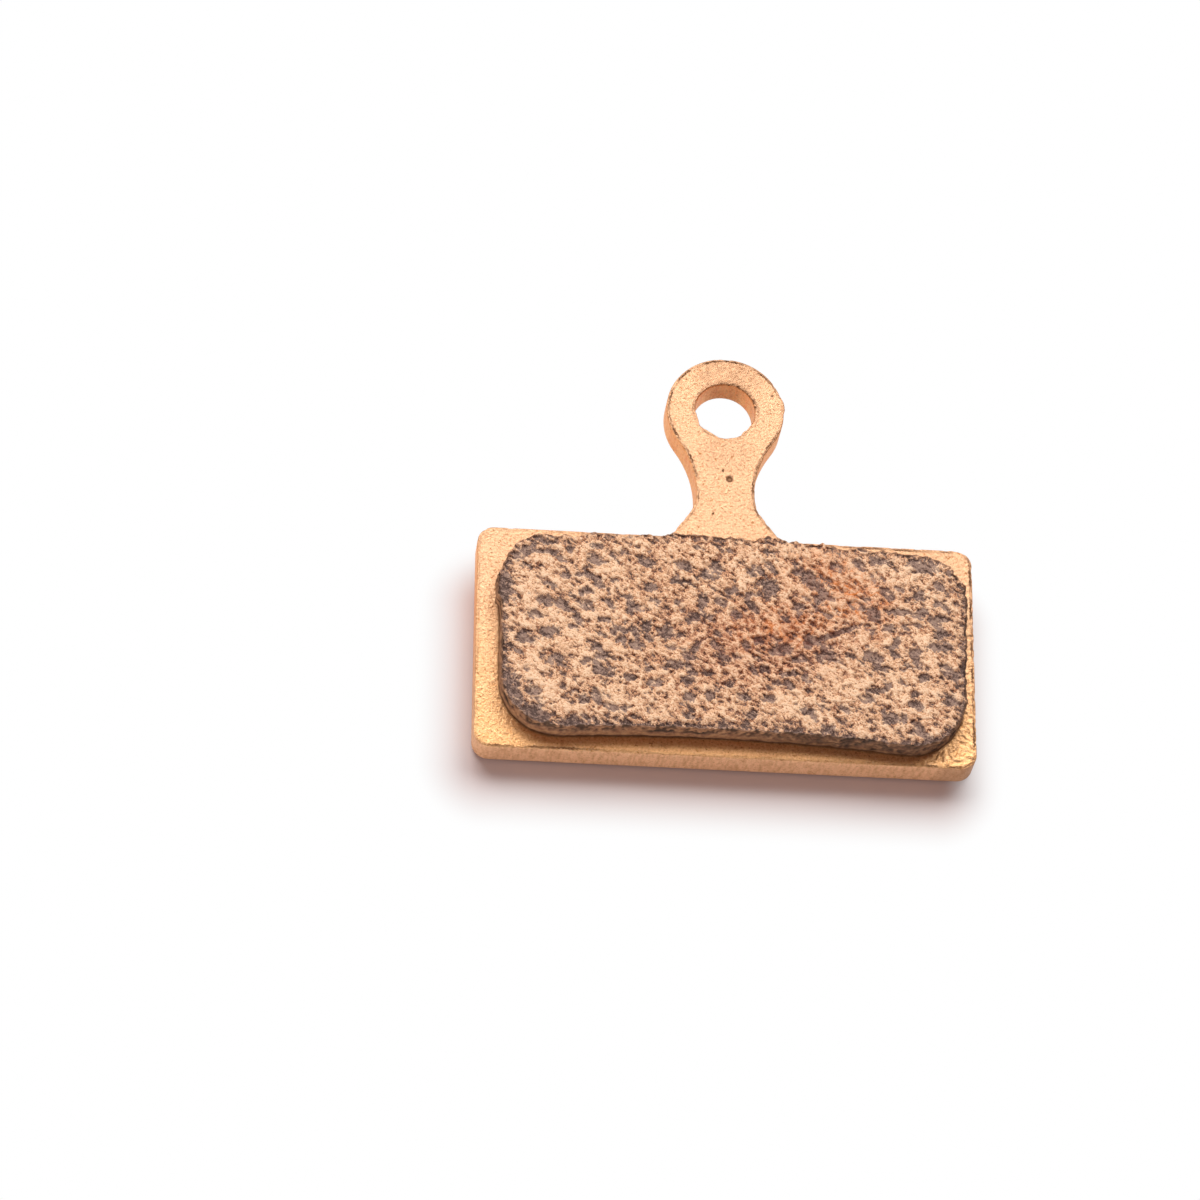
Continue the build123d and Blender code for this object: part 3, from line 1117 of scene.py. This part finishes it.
@dataclass(frozen=True)
class WhiteBoard:
    """Matt board that keeps the pad's soft shadow, painted deeper by its grey-pink colour, and goes over to
    plain white away from it.
    """

    # Grey-pink, darker than white: painted shadow near the plate, where the board shows its own colour
    colour: str = "#e3d6d4"
    middle: tuple[float, float, float] = (-0.7, -18.0, 0.0)  # of the plate's lower part
    reach: tuple[float, float, float] = (13.1, 5.0, 1.0)  # half its width and height
    near: float = 0.5  # distance from there up to which the board shows only the light it gets on its grey-pink colour
    far: float = 4.4  # and from which it shows as plain white

    def material(self) -> bpy.types.Material:
        """Builds the node tree.

        Returns:
            The finished material.
        """
        material, tree = new_material("matt_white_board")
        matt = add_node(tree, "BsdfDiffuse", {"Color": linear(self.colour)})
        white = add_node(tree, "Emission", {"Color": linear("#ffffff"), "Strength": 1.0})
        rays = add_node(tree, "LightPath").node.outputs
        seen = rays["Is Camera Ray"]
        for ray in ("Is Glossy Ray", "Is Transmission Ray"):
            seen = add_node(tree, "Math", {0: seen, 1: rays[ray]}, operation="MAXIMUM")

        # Distance from the rectangle below the plate
        away = add_node(tree, "TexCoord", out="Object")
        for operation, second in (
            ("SUBTRACT", {1: Vector(self.middle) * MM}),
            ("ABSOLUTE", {}),
            ("SUBTRACT", {1: Vector(self.reach) * MM}),
            ("MAXIMUM", {1: (0.0, 0.0, 0.0)}),
        ):
            away = add_node(tree, "VectorMath", {0: away} | second, operation=operation)
        away = add_node(tree, "VectorMath", {0: away}, "Value", operation="LENGTH")
        plain = add_node(
            tree,
            "MapRange",
            {"Value": away, "From Min": self.near * MM, "From Max": self.far * MM},
            interpolation_type="SMOOTHSTEP",
        )
        share = add_node(tree, "Math", {0: seen, 1: plain}, operation="MULTIPLY")
        both = add_node(tree, "MixShader", {0: share, 1: matt, 2: white})
        add_node(tree, "OutputMaterial", {"Surface": both})
        return material


@dataclass(frozen=True)
class Softbox:
    """Square lamp that faces the pad."""

    name: str
    place: tuple[float, float, float]
    side: float
    power: float

    def build(self, target: Vector) -> None:
        """Hangs the lamp.

        Args:
            target: Point that it faces.
        """
        lamp = bpy.data.lights.new(self.name, "AREA")
        lamp.size = self.side * MM
        lamp.energy = self.power
        holder = bpy.data.objects.new(self.name, lamp)
        holder.location = Vector(self.place) * MM
        holder.rotation_euler = (target - Vector(self.place)).to_track_quat("-Z", "Y").to_euler()
        bpy.context.scene.collection.objects.link(holder)


@dataclass
class Studio:
    """Floor, light and camera."""

    board: WhiteBoard
    floor_side: float = 20000.0
    floor_drop: float = 0.2  # clear of the plate's back
    air: str = "#ffdfdb"
    air_strength: float = 0.24
    eye: tuple[float, float, float] = (-32.37, -140.64, 262.33)
    target: tuple[float, float, float] = (-7.46, -13.06, 1.8)
    roll: float = 12.83  # degrees
    lens: float = 148.5
    sensor: float = 36.0  # width
    clip: tuple[float, float] = (1.0, 10000.0)  # nearest and furthest things that the camera sees
    softboxes: tuple[Softbox, ...] = (
        Softbox("left_softbox", (-120.0, 270.0, 320.0), 240.0, 1.13),
        Softbox("right_softbox", (140.0, 240.0, 340.0), 240.0, 0.79),
        Softbox("front_softbox", (-90.0, -310.0, 42.0), 60.0, 0.31),
        Softbox("low_softbox", (-320.0, -20.0, 40.0), 60.0, 0.18),
    )

    def build(self) -> None:
        """Sets up the floor, the air light, the lamps, the camera and the view."""
        self.lay_floor()
        self.fill_air()
        for softbox in self.softboxes:
            softbox.build(Vector(self.target))
        self.aim_camera()
        bpy.context.scene.view_settings.view_transform = "Standard"

    def lay_floor(self) -> None:
        """Lays the board under the pad."""
        bm = bmesh.new()
        bmesh.ops.create_grid(bm, x_segments=1, y_segments=1, size=self.floor_side / 2 * MM)
        bmesh.ops.translate(bm, vec=(0.0, 0.0, -self.floor_drop * MM), verts=bm.verts)
        mesh = bpy.data.meshes.new("floor_board")
        bm.to_mesh(mesh)
        bm.free()
        mesh.materials.append(self.board.material())
        floor = bpy.data.objects.new("floor_board", mesh)
        bpy.context.scene.collection.objects.link(floor)

    def fill_air(self) -> None:
        """Gives the world its even light."""
        world = bpy.data.worlds.new("studio_air")
        world.use_nodes = True
        tree = world.node_tree
        tree.nodes.clear()
        soft = add_node(tree, "Background", {"Color": linear(self.air), "Strength": self.air_strength})
        add_node(tree, "OutputWorld", {"Surface": soft})
        bpy.context.scene.world = world

    def aim_camera(self) -> None:
        """Puts the camera at the photograph's viewing angle."""
        data = bpy.data.cameras.new("camera")
        data.lens = self.lens
        data.sensor_width = self.sensor
        data.clip_start, data.clip_end = (distance * MM for distance in self.clip)
        camera = bpy.data.objects.new("camera", data)
        look = (Vector(self.target) - Vector(self.eye)).to_track_quat("-Z", "Y").to_matrix().to_4x4()
        turn = Matrix.Rotation(math.radians(self.roll), 4, "Z")
        camera.matrix_world = Matrix.Translation(Vector(self.eye) * MM) @ look @ turn
        bpy.context.scene.collection.objects.link(camera)
        bpy.context.scene.camera = camera


def main() -> None:
    """Builds the pad and its studio."""
    logging.basicConfig(level=logging.INFO, format="%(name)s %(message)s")
    PlatedPlate(PlatedSteel()).build(NodeShape("friction_pad"))
    FrictionBlock(SinteredMetal()).build()
    Studio(WhiteBoard()).build()


if __name__ == "__main__":
    main()
